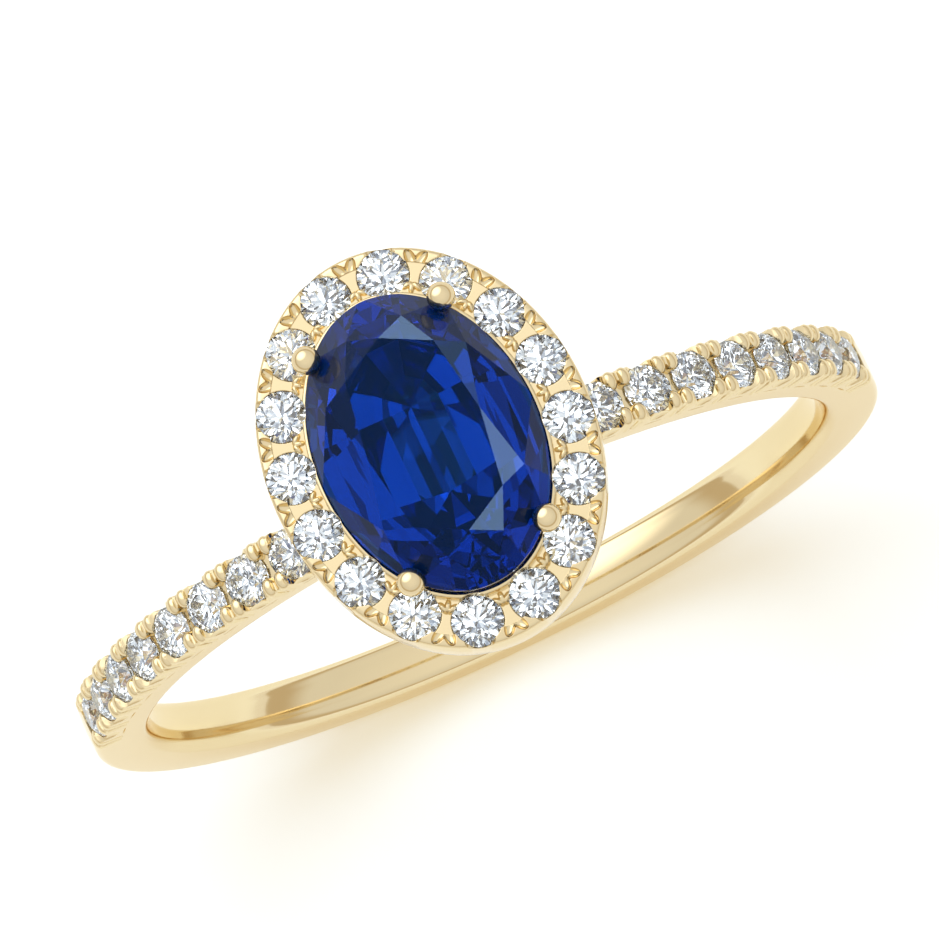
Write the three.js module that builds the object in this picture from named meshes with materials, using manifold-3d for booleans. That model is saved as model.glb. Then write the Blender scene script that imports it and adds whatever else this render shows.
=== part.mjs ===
// Oval sapphire halo engagement ring in yellow gold, with a diamond halo and diamond shoulders.
// Millimetres. The origin is the centre of the finger hole, +Y runs along the finger,
// +Z points up through the head, and X runs across the hand.
import * as THREE from "three";
import { ConvexGeometry } from "three/addons/geometries/ConvexGeometry.js";
import { mergeVertices } from "three/addons/utils/BufferGeometryUtils.js";
import Module from "manifold-3d";

const wasm = await Module();
wasm.setup();

// ---- driving dimensions ----

// Clearance between a stone or wire and the metal that holds it.
const SETTING_CLEARANCE = 0.025;

// Shank: a plain band below, two rows of stones on its shoulders.
const FINGER_BORE_RADIUS = 8.65;
const SHANK_THICKNESS = 1.42;
const SHANK_EDGE = 0.06; // metal on each side of a shoulder stone
const INNER_EDGE_RADIUS = 0.22; // comfort-fit rounding inside
const OUTER_EDGE_RADIUS = 0.16;
const SHANK_SEGMENTS = 80;

// Shoulder stones: round brilliants in a row on each side of the head.
const SHOULDER_STONE_DIAMETER = 1.18;
const SHOULDER_STONE_COUNT = 8;
const SHOULDER_STONE_GAP = 0.138;
const SHOULDER_TABLE_DEPTH = 0; // the stone's table below the plain band's outside
const SHOULDER_START = 0.13; // first stone's centre beyond the side of the halo
const SCALLOP_RADIUS = 0.36; // U-shaped cut in the side wall beside each stone
const SCALLOP_DEPTH = 0.08; // bottom of that cut below the stone's girdle

// Centre stone: an oval mixed cut.
const SAPPHIRE_LENGTH = 7;
const SAPPHIRE_WIDTH = 5;
const SAPPHIRE_CROWN = 0.95;
const SAPPHIRE_GIRDLE = 0.12;
const SAPPHIRE_PAVILION = 2.15;
const HEAD_HEIGHT = 3.5; // centre stone's girdle above the outside of the band

// Halo: round brilliants in an oval frame round the centre stone.
const HALO_STONE_DIAMETER = 1.18;
const HALO_STONE_COUNT = 16;
const HALO_LEAST_GAP = 0.15; // least metal between two halo stones
const HALO_DROP = 0.65; // halo stones' girdles below the centre stone's girdle
const HALO_RIM = 0.01; // metal outside the halo stones
const HALO_UNDERLAP = 0.3; // frame's inner wall inside the centre stone's outline
const HALO_HEIGHT = 0.95;
const FRAME_BEVEL = 0.05;

// Grains: the small beads of metal that are pushed over the stones.
const BEAD_RADIUS = 0.125;
const INNER_BEAD_RADIUS = 0.1;
const BEAD_HEIGHT = 0.17; // bead tops above the floor between the stones
const BEAD_ROOT = 0.14; // how far a bead reaches down into the floor
const BEAD_PITCH = 0.27; // between the two beads of a pair
const BEAD_INSET = 0.13; // bead's centre inside the edge of the metal
const FLOOR_RISE = 0.03; // floor between the stones above their girdles

// Light holes drilled through the metal behind each small stone.
const LIGHT_HOLE_RADIUS = 0.2;

// Basket: four claws on a base, tied by a gallery rail.
const CLAW_RADIUS = 0.25;
const CLAW_BALL_RADIUS = 0.315;
const CLAW_ANGLE = THREE.MathUtils.degToRad(50.5); // place of a claw on the oval
const CLAW_TIP_OUT = 0.14; // ball's centre outside the stone's outline
const CLAW_TIP_RISE = 0.14; // ball's centre above the stone's girdle
const CLAW_HALO_INSET = 0.37; // wire inside the stone's outline where it passes the halo
const BASE_SEAT_DEPTH = 0.17; // flat on the top of the shank below its outside
const BASE_HEIGHT = 0.45;
const BASE_CLAW_X = 0.95; // semi-axes of the oval that the claws stand on
const BASE_CLAW_Y = 1.25;
const BASE_MARGIN = 0.08; // base outside the claws' feet
const BASE_WALL = 0.75; // width of the base's oval ring
const RAIL_RISE = 0.7; // rail's underside above the base
const RAIL_HEIGHT = 0.38;
const RAIL_WIDTH = 0.42;
const RAIL_BITE = 0.1; // how deep a claw lies in the rail

// ---- derived sizes ----

const SHANK_RADIUS = FINGER_BORE_RADIUS + SHANK_THICKNESS;
const SHANK_WIDTH = SHOULDER_STONE_DIAMETER + 2 * SHANK_EDGE;

// Round brilliant proportions, as shares of the diameter.
const TABLE_SHARE = 0.56;
const CROWN_SHARE = 0.15;
const GIRDLE_SHARE = 0.03;
const PAVILION_SHARE = 0.43;
const STAR_SHARE = 0.5;
const LOWER_GIRDLE_SHARE = 0.77;

const SHOULDER_GIRDLE_RADIUS =
  SHANK_RADIUS - SHOULDER_TABLE_DEPTH - (CROWN_SHARE + GIRDLE_SHARE / 2) * SHOULDER_STONE_DIAMETER;
const SHOULDER_FLOOR_RADIUS = SHOULDER_GIRDLE_RADIUS + FLOOR_RISE;
const SHOULDER_PITCH =
  (SHOULDER_STONE_DIAMETER + SHOULDER_STONE_GAP) / SHOULDER_GIRDLE_RADIUS;

const GIRDLE_Z = SHANK_RADIUS + HEAD_HEIGHT;
const HALO_Z = GIRDLE_Z - HALO_DROP;
const SEAT_Z = SHANK_RADIUS - BASE_SEAT_DEPTH;
const BASE_Z = SEAT_Z + SETTING_CLEARANCE;
const BASE_TOP_Z = BASE_Z + BASE_HEIGHT;
const RAIL_Z = BASE_TOP_Z + RAIL_RISE;

const HALO_OFFSET = haloOffset();
const HALO_CENTRE_X = SAPPHIRE_WIDTH / 2 + HALO_OFFSET;
const HALO_CENTRE_Y = SAPPHIRE_LENGTH / 2 + HALO_OFFSET;
const HALO_OUTSIDE = HALO_STONE_DIAMETER / 2 + HALO_RIM;
const SHOULDER_FIRST_ANGLE = Math.asin(
  (HALO_CENTRE_X + HALO_OUTSIDE + SHOULDER_START) / SHOULDER_GIRDLE_RADIUS,
);

// An oval line, measured by its length from the +X end.
function oval(semiX, semiY) {
  const curve = new THREE.EllipseCurve(0, 0, semiX, semiY);
  curve.arcLengthDivisions = 720;
  return curve;
}

// The halo's row of stones lies just outside the centre stone, or further out where that
// row would be too short for its stones and the metal between them.
function haloOffset() {
  const needed = HALO_STONE_COUNT * (HALO_STONE_DIAMETER + HALO_LEAST_GAP);
  let near = HALO_STONE_DIAMETER / 2;
  let far = near + HALO_STONE_COUNT * HALO_STONE_DIAMETER;
  const rowLength = (offset) =>
    oval(SAPPHIRE_WIDTH / 2 + offset, SAPPHIRE_LENGTH / 2 + offset).getLength();
  if (rowLength(near) >= needed) return near;
  for (let i = 0; i < 40; i++) {
    const middle = (near + far) / 2;
    if (rowLength(middle) < needed) near = middle;
    else far = middle;
  }
  return far;
}

// ---- solids ----

const MERGE_DISTANCE = 1e-4;

function toSolid(geometry) {
  const bare = geometry.index ? geometry.toNonIndexed() : geometry.clone();
  bare.deleteAttribute("normal");
  bare.deleteAttribute("uv");
  const merged = mergeVertices(bare, MERGE_DISTANCE);
  const vertProperties = merged.attributes.position.array;
  const triVerts = new Uint32Array(merged.index.array);
  return new wasm.Manifold(new wasm.Mesh({ numProp: 3, vertProperties, triVerts }));
}

function toGeometry(solid) {
  const { vertProperties, triVerts } = solid.getMesh();
  const indexed = new THREE.BufferGeometry();
  indexed.setAttribute("position", new THREE.BufferAttribute(vertProperties, 3));
  indexed.setIndex(new THREE.BufferAttribute(triVerts, 1));
  const geometry = indexed.toNonIndexed();
  geometry.computeVertexNormals();
  return geometry;
}

function subtractAll(solid, geometries) {
  return geometries.reduce((rest, g) => rest.subtract(toSolid(g)), solid);
}

function addAll(solid, geometries) {
  return geometries.reduce((whole, g) => whole.add(toSolid(g)), solid);
}

// A turned shape on the Z axis, from a profile of radius and height that runs upwards.
function turned(profile, segments) {
  const points = profile.map(([radius, height]) => new THREE.Vector2(radius, height));
  return new THREE.LatheGeometry(points, segments).rotateX(Math.PI / 2);
}

// An oval ring with flat faces and slightly broken edges, from z up by height.
function ovalRing(outerX, outerY, wallX, wallY, z, height, divisions) {
  const edge = (semiX, semiY) => oval(semiX, semiY).getPoints(divisions).slice(0, -1);
  const shape = new THREE.Shape(edge(outerX - FRAME_BEVEL, outerY - FRAME_BEVEL));
  shape.holes.push(
    new THREE.Path(edge(outerX - wallX + FRAME_BEVEL, outerY - wallY + FRAME_BEVEL)),
  );
  const ring = new THREE.ExtrudeGeometry(shape, {
    depth: height - 2 * FRAME_BEVEL,
    bevelSize: FRAME_BEVEL,
    bevelThickness: FRAME_BEVEL,
    bevelSegments: 1,
  });
  return ring.translate(0, 0, z + FRAME_BEVEL);
}

// ---- materials ----

function goldMaterial() {
  return new THREE.MeshStandardMaterial({ color: 0xe4d1a2, roughness: 0.12, metalness: 1 });
}

function diamondMaterial() {
  return new THREE.MeshStandardMaterial({ color: 0xeef2f6, roughness: 0.02, metalness: 0 });
}

function sapphireMaterial() {
  return new THREE.MeshStandardMaterial({ color: 0x0b2a8c, roughness: 0.02, metalness: 0 });
}

const GOLD = goldMaterial();
const DIAMOND = diamondMaterial();
const SAPPHIRE = sapphireMaterial();

function named(name, geometry, material) {
  const mesh = new THREE.Mesh(geometry, material);
  mesh.name = name;
  return mesh;
}

// ---- small stones and what holds them ----

// A round brilliant with 57 facets, its girdle on z = 0 and its table up.
function brilliant(diameter) {
  const girdle = diameter / 2;
  const halfGirdle = (GIRDLE_SHARE * diameter) / 2;
  const table = TABLE_SHARE * girdle;
  const crown = CROWN_SHARE * diameter;
  const pavilion = PAVILION_SHARE * diameter;
  const eighth = Math.PI / 4;
  const half = Math.cos(eighth / 2);
  // The star's tip and the kite beside it lie in one plane with the table's corner.
  const star = table * half + STAR_SHARE * (girdle - table * half);
  const starHeight = (crown * (girdle - star * half)) / (girdle - table);
  const lower = (1 - LOWER_GIRDLE_SHARE) * girdle;
  const lowerDepth = (pavilion * (girdle - lower * half)) / girdle;
  const points = [new THREE.Vector3(0, 0, -halfGirdle - pavilion)];
  const at = (radius, angle, z) =>
    new THREE.Vector3(radius * Math.cos(angle), radius * Math.sin(angle), z);
  for (let i = 0; i < 8; i++) {
    const main = i * eighth;
    const between = main + eighth / 2;
    points.push(at(table, main, halfGirdle + crown));
    points.push(at(star, between, halfGirdle + starHeight));
    points.push(at(lower, between, -halfGirdle - lowerDepth));
    for (const angle of [main, between]) {
      points.push(at(girdle, angle, halfGirdle), at(girdle, angle, -halfGirdle));
    }
  }
  return new ConvexGeometry(points);
}

const SEAT_SIDES = 10;

// What is cut away for a small stone: the stone with its clearance, and a light hole
// that runs on down through the metal.
function seat(diameter, holeDepth) {
  const girdle = (diameter / 2 + SETTING_CLEARANCE) / Math.cos(Math.PI / SEAT_SIDES);
  const halfGirdle = (GIRDLE_SHARE * diameter) / 2 + SETTING_CLEARANCE;
  const pavilion = PAVILION_SHARE * diameter;
  const table = (TABLE_SHARE * diameter) / 2 + 2 * SETTING_CLEARANCE;
  const top = halfGirdle + CROWN_SHARE * diameter + SETTING_CLEARANCE;
  const holeTop = -halfGirdle - (pavilion * (girdle - LIGHT_HOLE_RADIUS)) / girdle;
  return turned(
    [
      [0, -holeDepth],
      [LIGHT_HOLE_RADIUS, -holeDepth],
      [LIGHT_HOLE_RADIUS, holeTop],
      [girdle, -halfGirdle],
      [girdle, halfGirdle],
      [table, top],
      [0, top],
    ],
    SEAT_SIDES,
  );
}

const BEAD_SIDES = 6;

// One grain: a short post with a pointed head, the floor it stands on at z = 0.
function bead(radius) {
  return turned(
    [
      [0, -BEAD_ROOT],
      [radius, -BEAD_ROOT],
      [radius, BEAD_HEIGHT - 0.7 * radius],
      [0, BEAD_HEIGHT],
    ],
    BEAD_SIDES,
  );
}

// ---- shank ----

function shoulderAngles(side) {
  return Array.from(
    { length: SHOULDER_STONE_COUNT },
    (_, i) => side * (SHOULDER_FIRST_ANGLE + i * SHOULDER_PITCH),
  );
}

// Moves a shape from the Z axis to a place on the band: a height above the finger's axis,
// a distance along the finger, and an angle from the top towards +X.
function onBand(geometry, radius, along, angle) {
  return geometry.translate(0, along, radius).rotateY(angle);
}

// The plain band: a section with rounded edges turned round the finger's axis.
function plainBand() {
  const half = SHANK_WIDTH / 2;
  const inside = FINGER_BORE_RADIUS;
  const outside = SHANK_RADIUS;
  const section = new THREE.Path();
  section.moveTo(inside + INNER_EDGE_RADIUS, -half);
  section.lineTo(outside - OUTER_EDGE_RADIUS, -half);
  section.quadraticCurveTo(outside, -half, outside, -half + OUTER_EDGE_RADIUS);
  section.lineTo(outside, half - OUTER_EDGE_RADIUS);
  section.quadraticCurveTo(outside, half, outside - OUTER_EDGE_RADIUS, half);
  section.lineTo(inside + INNER_EDGE_RADIUS, half);
  section.quadraticCurveTo(inside, half, inside, half - INNER_EDGE_RADIUS);
  section.lineTo(inside, -half + INNER_EDGE_RADIUS);
  section.quadraticCurveTo(inside, -half, inside + INNER_EDGE_RADIUS, -half);
  return toSolid(new THREE.LatheGeometry(section.getPoints(2), SHANK_SEGMENTS));
}

// The step down from the plain band to the floor that the shoulder stones are set in. It
// spans the top of the ring from just past the last stone on one side to the other.
function shoulderStep() {
  const end = SHOULDER_FIRST_ANGLE + (SHOULDER_STONE_COUNT - 0.5) * SHOULDER_PITCH;
  const outside = SHANK_RADIUS + SHANK_THICKNESS;
  const sector = new THREE.Shape();
  sector.absarc(0, 0, outside, Math.PI / 2 - end, Math.PI / 2 + end);
  sector.absarc(0, 0, SHOULDER_FLOOR_RADIUS, Math.PI / 2 + end, Math.PI / 2 - end, true);
  const step = new THREE.ExtrudeGeometry(sector, {
    depth: 2 * SHANK_WIDTH,
    bevelEnabled: false,
    curveSegments: SHANK_SEGMENTS / 2,
  });
  return step.translate(0, 0, -SHANK_WIDTH).rotateX(Math.PI / 2);
}

// The flat on top of the shank that the basket's base is soldered to.
function headSeat() {
  const size = 2 * SHANK_RADIUS;
  return new THREE.BoxGeometry(size, size, size).translate(0, 0, SEAT_Z + size / 2);
}

function scallops(side) {
  const centre = SHOULDER_GIRDLE_RADIUS - SCALLOP_DEPTH + SCALLOP_RADIUS;
  return shoulderAngles(side).map((angle) =>
    onBand(
      new THREE.CylinderGeometry(SCALLOP_RADIUS, SCALLOP_RADIUS, 2 * SHANK_WIDTH, 10),
      centre,
      0,
      angle,
    ),
  );
}

// Pairs of beads on both edges of the band, before, between and after the stones.
function shoulderBeads(side) {
  const beads = [];
  const edge = SHANK_WIDTH / 2 - BEAD_INSET;
  const spread = BEAD_PITCH / 2 / SHOULDER_FLOOR_RADIUS;
  for (let i = 0; i <= SHOULDER_STONE_COUNT; i++) {
    const middle = SHOULDER_FIRST_ANGLE + (i - 0.5) * SHOULDER_PITCH;
    for (const along of [-edge, edge]) {
      for (const shift of [-spread, spread]) {
        const angle = side * (middle + shift);
        beads.push(onBand(bead(BEAD_RADIUS), SHOULDER_FLOOR_RADIUS, along, angle));
      }
    }
  }
  return beads;
}

function shoulderSeats(side) {
  const depth = SHANK_THICKNESS + SHOULDER_STONE_DIAMETER;
  return shoulderAngles(side).map((angle) =>
    onBand(seat(SHOULDER_STONE_DIAMETER, depth), SHOULDER_GIRDLE_RADIUS, 0, angle),
  );
}

function makeShank() {
  const both = (make) => [...make(-1), ...make(1)];
  let solid = subtractAll(plainBand(), [shoulderStep(), headSeat()]);
  solid = subtractAll(solid, both(scallops));
  solid = addAll(solid, both(shoulderBeads));
  solid = subtractAll(solid, both(shoulderSeats));
  return named("shank", toGeometry(solid), GOLD);
}

function makeShoulderStones(side, word) {
  const row = new THREE.Group();
  shoulderAngles(side).forEach((angle, i) => {
    const stone = named(
      `shoulder_diamond_${word}_${i + 1}`,
      brilliant(SHOULDER_STONE_DIAMETER),
      DIAMOND,
    );
    stone.position.z = SHOULDER_GIRDLE_RADIUS;
    const place = new THREE.Group();
    place.rotation.y = angle;
    place.add(stone);
    row.add(place);
  });
  return row;
}

// ---- centre stone ----

// Crown of the centre stone, seen on an oval squeezed to a unit circle: the angle of each
// corner of the table from the stone's width, and its distance from the centre.
const CROWN_CORNERS = [
  { turn: 0, table: 0.544 },
  { turn: 50, table: 0.672 },
  { turn: 90, table: 0.68 },
  { turn: 130, table: 0.672 },
];
const CROWN_STAR = 0.81; // distance of the stars' tips from the centre
// Pavilion rows from the girdle down: the share of the depth and of the width left there.
const PAVILION_ROWS = [
  { depth: 0.2, width: 0.88 },
  { depth: 0.51, width: 0.6 },
  { depth: 0.79, width: 0.28 },
  { depth: 1, width: 0 },
];
const PAVILION_SIDES = 12;
const KEEL_SHARE = 0.3; // length of the keel under the stone, as a share of the stone's
const SAPPHIRE_OUTLINE = 32; // sides of the girdle

// The tip of the star between two corners of the table. The kites on both sides of it
// slope evenly from the table to the girdle, and it lies where their planes meet.
function starTip(left, right) {
  const fall = (corner, angle) =>
    (1 - CROWN_STAR * Math.cos(angle - corner.angle)) / (1 - corner.table);
  let low = left.angle;
  let high = right.angle;
  for (let i = 0; i < 40; i++) {
    const middle = (low + high) / 2;
    if (fall(left, middle) < fall(right, middle)) low = middle;
    else high = middle;
  }
  return { angle: low, height: fall(left, low) };
}

// A mixed cut, its girdle on z = 0 and its table up: a brilliant crown over a pavilion
// that is stepped in rows along the stone and ends in a keel.
function sapphireCut() {
  const points = [];
  const halfGirdle = SAPPHIRE_GIRDLE / 2;
  const put = (radius, angle, z, stretch = 0) => {
    const x = (SAPPHIRE_WIDTH / 2) * radius * Math.cos(angle);
    const y = (SAPPHIRE_LENGTH / 2) * (radius * Math.sin(angle) + stretch);
    points.push(new THREE.Vector3(x, y, z));
  };
  for (let i = 0; i < SAPPHIRE_OUTLINE; i++) {
    const angle = (i * 2 * Math.PI) / SAPPHIRE_OUTLINE;
    put(1, angle, halfGirdle);
    put(1, angle, -halfGirdle);
  }
  const corners = [0, 180].flatMap((half) =>
    CROWN_CORNERS.map(({ turn, table }) => ({
      angle: THREE.MathUtils.degToRad(turn + half),
      table,
    })),
  );
  corners.forEach((corner, i) => {
    const next = corners[(i + 1) % corners.length];
    const full = next.angle < corner.angle ? 2 * Math.PI : 0;
    const tip = starTip(corner, { ...next, angle: next.angle + full });
    put(corner.table, corner.angle, halfGirdle + SAPPHIRE_CROWN);
    put(CROWN_STAR, tip.angle, halfGirdle + SAPPHIRE_CROWN * tip.height);
  });
  for (const { depth, width } of PAVILION_ROWS) {
    for (let i = 0; i < PAVILION_SIDES; i++) {
      const angle = ((i + 0.5) * 2 * Math.PI) / PAVILION_SIDES;
      const keel = Math.sign(Math.sin(angle)) * KEEL_SHARE * (1 - width);
      put(width, angle, -halfGirdle - depth * SAPPHIRE_PAVILION, keel);
    }
  }
  return new ConvexGeometry(points);
}

function makeSapphire() {
  const stone = named("center_sapphire", sapphireCut(), SAPPHIRE);
  stone.position.z = GIRDLE_Z;
  return stone;
}

// The centre stone with its clearance, in place, for cutting the claws.
function sapphireEnvelope() {
  const grow = (size) => (size + 2 * SETTING_CLEARANCE) / size;
  const depth = SAPPHIRE_CROWN + SAPPHIRE_GIRDLE + SAPPHIRE_PAVILION;
  return sapphireCut()
    .scale(grow(SAPPHIRE_WIDTH), grow(SAPPHIRE_LENGTH), grow(depth))
    .translate(0, 0, GIRDLE_Z);
}

// ---- basket ----

// A claw's line, from its foot on the base past the halo to the ball over the girdle.
function clawLine(sideX, sideY) {
  const onOval = (semiX, semiY, z) =>
    new THREE.Vector3(
      sideX * semiX * Math.cos(CLAW_ANGLE),
      sideY * semiY * Math.sin(CLAW_ANGLE),
      z,
    );
  const outline = (offset, z) =>
    onOval(SAPPHIRE_WIDTH / 2 + offset, SAPPHIRE_LENGTH / 2 + offset, z);
  const foot = onOval(BASE_CLAW_X, BASE_CLAW_Y, BASE_TOP_Z);
  const pass = outline(-CLAW_HALO_INSET, HALO_Z);
  const tip = outline(CLAW_TIP_OUT, GIRDLE_Z + CLAW_TIP_RISE);
  const sunk = foot.clone().lerp(pass, -0.15);
  return new THREE.CatmullRomCurve3([sunk, foot, foot.clone().lerp(pass, 0.5), pass, tip]);
}

// A claw grown by a margin: with none it is the wire itself, with the clearance it is
// what is cut out of the pieces that it passes.
function clawWire(sideX, sideY, margin) {
  const section = new THREE.Shape();
  section.absarc(0, 0, CLAW_RADIUS + margin, 0, 2 * Math.PI);
  const line = clawLine(sideX, sideY);
  const wire = new THREE.ExtrudeGeometry(section, {
    steps: 7,
    curveSegments: 4,
    extrudePath: line,
  });
  const ball = new THREE.SphereGeometry(CLAW_BALL_RADIUS + margin, 10, 8);
  const tip = line.getPoint(1);
  ball.translate(tip.x, tip.y, tip.z);
  return toSolid(wire).add(toSolid(ball));
}

function makeClaw(sideX, sideY, name) {
  const size = 2 * SHANK_RADIUS;
  const foot = BASE_TOP_Z + SETTING_CLEARANCE;
  const below = new THREE.BoxGeometry(size, size, size).translate(0, 0, foot - size / 2);
  const solid = subtractAll(clawWire(sideX, sideY, 0), [below, sapphireEnvelope()]);
  return named(name, toGeometry(solid), GOLD);
}

const CORNERS = [
  [1, 1, "back_right"],
  [-1, 1, "back_left"],
  [-1, -1, "front_left"],
  [1, -1, "front_right"],
];

function notchForClaws(solid) {
  return CORNERS.reduce(
    (rest, [sideX, sideY]) => rest.subtract(clawWire(sideX, sideY, SETTING_CLEARANCE)),
    solid,
  );
}

// The base: an oval ring with flat faces on the shank's flat, under the claws' feet.
function makeHeadBase() {
  const outside = CLAW_RADIUS + BASE_MARGIN;
  const ring = ovalRing(
    BASE_CLAW_X + outside,
    BASE_CLAW_Y + outside,
    BASE_WALL,
    BASE_WALL,
    BASE_Z,
    BASE_HEIGHT,
    24,
  );
  return named("head_base", toGeometry(toSolid(ring)), GOLD);
}

// The gallery rail: an oval hoop outside the claws, halfway up the basket.
function makeGalleryRail() {
  const middle = RAIL_Z + RAIL_HEIGHT / 2;
  const line = clawLine(1, 1);
  const foot = line.points[1];
  const pass = line.points[3];
  const claw = foot.clone().lerp(pass, (middle - foot.z) / (pass.z - foot.z));
  const reach = CLAW_RADIUS - RAIL_BITE + RAIL_WIDTH;
  const ring = ovalRing(
    claw.x / Math.cos(CLAW_ANGLE) + reach,
    claw.y / Math.sin(CLAW_ANGLE) + reach,
    RAIL_WIDTH,
    RAIL_WIDTH,
    RAIL_Z,
    RAIL_HEIGHT,
    32,
  );
  return named("gallery_rail", toGeometry(notchForClaws(toSolid(ring))), GOLD);
}

// ---- halo ----

const HALO_ROW = oval(HALO_CENTRE_X, HALO_CENTRE_Y);

// Place number i + shift in the row of stones, moved outwards from the row's line.
function haloPlace(i, shift, outwards) {
  const share = (i + shift + HALO_STONE_COUNT) / HALO_STONE_COUNT;
  const along = share - Math.floor(share);
  const point = HALO_ROW.getPointAt(along);
  const tangent = HALO_ROW.getTangentAt(along);
  const normal = new THREE.Vector2(tangent.y, -tangent.x);
  point.addScaledVector(normal, outwards);
  return { x: point.x, y: point.y, facing: Math.atan2(normal.y, normal.x) };
}

function haloIndices() {
  return Array.from({ length: HALO_STONE_COUNT }, (_, i) => i);
}

function makeHaloFrame() {
  const wall = HALO_OFFSET + HALO_UNDERLAP + HALO_OUTSIDE;
  const floor = HALO_Z + FLOOR_RISE;
  const ring = ovalRing(
    HALO_CENTRE_X + HALO_OUTSIDE,
    HALO_CENTRE_Y + HALO_OUTSIDE,
    wall,
    wall,
    floor - HALO_HEIGHT,
    HALO_HEIGHT,
    48,
  );
  const pitch = HALO_ROW.getLength() / HALO_STONE_COUNT;
  const spread = BEAD_PITCH / 2 / pitch;
  const inner = -HALO_STONE_DIAMETER / 2 + INNER_BEAD_RADIUS;
  const put = (geometry, place, z) => geometry.translate(place.x, place.y, z);
  const beads = haloIndices().flatMap((i) => [
    put(bead(BEAD_RADIUS), haloPlace(i, -spread, HALO_OUTSIDE - BEAD_INSET), floor),
    put(bead(BEAD_RADIUS), haloPlace(i, spread, HALO_OUTSIDE - BEAD_INSET), floor),
    put(bead(INNER_BEAD_RADIUS), haloPlace(i, 0, inner), floor),
  ]);
  const seats = haloIndices().map((i) =>
    put(seat(HALO_STONE_DIAMETER, 2 * HALO_HEIGHT), haloPlace(i, 0.5, 0), HALO_Z),
  );
  const solid = subtractAll(addAll(toSolid(ring), beads), seats);
  return named("halo_frame", toGeometry(notchForClaws(solid)), GOLD);
}

function makeHaloStones() {
  const row = new THREE.Group();
  row.position.z = HALO_Z;
  haloIndices().forEach((i) => {
    const place = haloPlace(i, 0.5, 0);
    const number = String(i + 1).padStart(2, "0");
    const stone = named(`halo_diamond_${number}`, brilliant(HALO_STONE_DIAMETER), DIAMOND);
    stone.position.set(place.x, place.y, 0);
    stone.rotation.z = place.facing;
    row.add(stone);
  });
  return row;
}

// ---- assembly ----

const ring = new THREE.Group();
ring.add(makeShank());
ring.add(makeShoulderStones(-1, "left"));
ring.add(makeShoulderStones(1, "right"));
ring.add(makeHeadBase());
ring.add(makeGalleryRail());
CORNERS.forEach(([sideX, sideY, word]) => ring.add(makeClaw(sideX, sideY, `claw_${word}`)));
ring.add(makeHaloFrame());
ring.add(makeHaloStones());
ring.add(makeSapphire());

export default ring;
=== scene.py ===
# Oval sapphire halo engagement ring in yellow gold. Z points up through the head, Y runs
# along the finger, and the origin is the centre of the finger hole.
import math

import bpy
from mathutils import Matrix, Vector


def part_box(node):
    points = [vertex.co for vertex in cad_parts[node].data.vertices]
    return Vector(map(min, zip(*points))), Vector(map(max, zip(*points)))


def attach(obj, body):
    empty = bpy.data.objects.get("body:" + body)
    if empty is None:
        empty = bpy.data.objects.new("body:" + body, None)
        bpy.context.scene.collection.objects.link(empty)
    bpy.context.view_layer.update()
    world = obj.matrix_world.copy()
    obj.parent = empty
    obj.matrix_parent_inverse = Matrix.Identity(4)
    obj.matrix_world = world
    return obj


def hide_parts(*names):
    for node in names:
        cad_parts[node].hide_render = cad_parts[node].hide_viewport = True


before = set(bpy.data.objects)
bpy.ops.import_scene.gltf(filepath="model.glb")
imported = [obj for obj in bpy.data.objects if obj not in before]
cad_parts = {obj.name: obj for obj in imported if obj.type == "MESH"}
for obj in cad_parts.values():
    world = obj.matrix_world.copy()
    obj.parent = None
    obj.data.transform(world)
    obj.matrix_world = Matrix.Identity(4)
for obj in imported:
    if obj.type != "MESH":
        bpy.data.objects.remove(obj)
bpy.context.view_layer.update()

# ---- shank ----
# The real shank is one casting in pale yellow gold, filed to a soft section, cut down over
# the shoulders and polished. Its stones sit in drilled seats between cut-up pairs of beads.

# Pieces are worked at a thousand times life size, so that the finest cuts stay exact, and
# come back to metres when they are finished. Sizes at the bench are in millimetres.
BENCH = 1000
# The band: radii from the finger's axis, and the width along the finger.
FINGER_BORE = 8.65
BAND_OUTSIDE = 10.07
BAND_WIDTH = 1.30
BAND_STEPS = 320
HEAD_FLAT = 9.90
# The shoulder stones: angles are taken from the top of the ring.
SHOULDER_STONE = 1.18
STONES_A_SIDE = 8
FIRST_STONE = math.radians(22.757)
STONE_PITCH = math.radians(7.6469)
GIRDLE_RADIUS = 9.8753
# The channel between the two rows of beads.
CHANNEL_START = FIRST_STONE - 0.9 * STONE_PITCH
CHANNEL_END = math.radians(80.1)
CHANNEL_WIDTH = 0.80
CHANNEL_FLOOR = 9.83
# The beads and the cuts round them. "Along" is how far from the band's middle, along the
# finger.
PAVE_FLOOR = 9.9053
BEAD_RADIUS = 0.17
BEAD_STRETCH = 1.35
BEAD_ROOT = 0.46
BEAD_ALONG = 0.445
BEAD_SHIFT = 0.175
BEAD_LEAN = math.radians(9)
SCALLOP_RADIUS, SCALLOP_RISE = 0.40, 0.34
GROOVE_RADIUS, GROOVE_ALONG = 0.07, 0.60
SIDE_GROOVE, SIDE_GROOVE_ALONG = (0.06, 0.09, 0.36), 0.665
HOLLOW, HOLLOW_ALONG = (0.27, 0.15, 0.36), 0.70
SLIT, SLIT_DROP = (0.26, 0.05, 0.024), 0.44

GOLD_COLOUR = (0.81, 0.675, 0.42, 1)
GOLD_DEEP = (0.78, 0.635, 0.375, 1)


def pick(*pieces):
    bpy.ops.object.select_all(action="DESELECT")
    for piece in pieces:
        piece.select_set(True)
    bpy.context.view_layer.objects.active = pieces[0]


def new_piece(name):
    piece = bpy.context.active_object
    piece.name = name
    piece.data.name = name
    return piece


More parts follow.
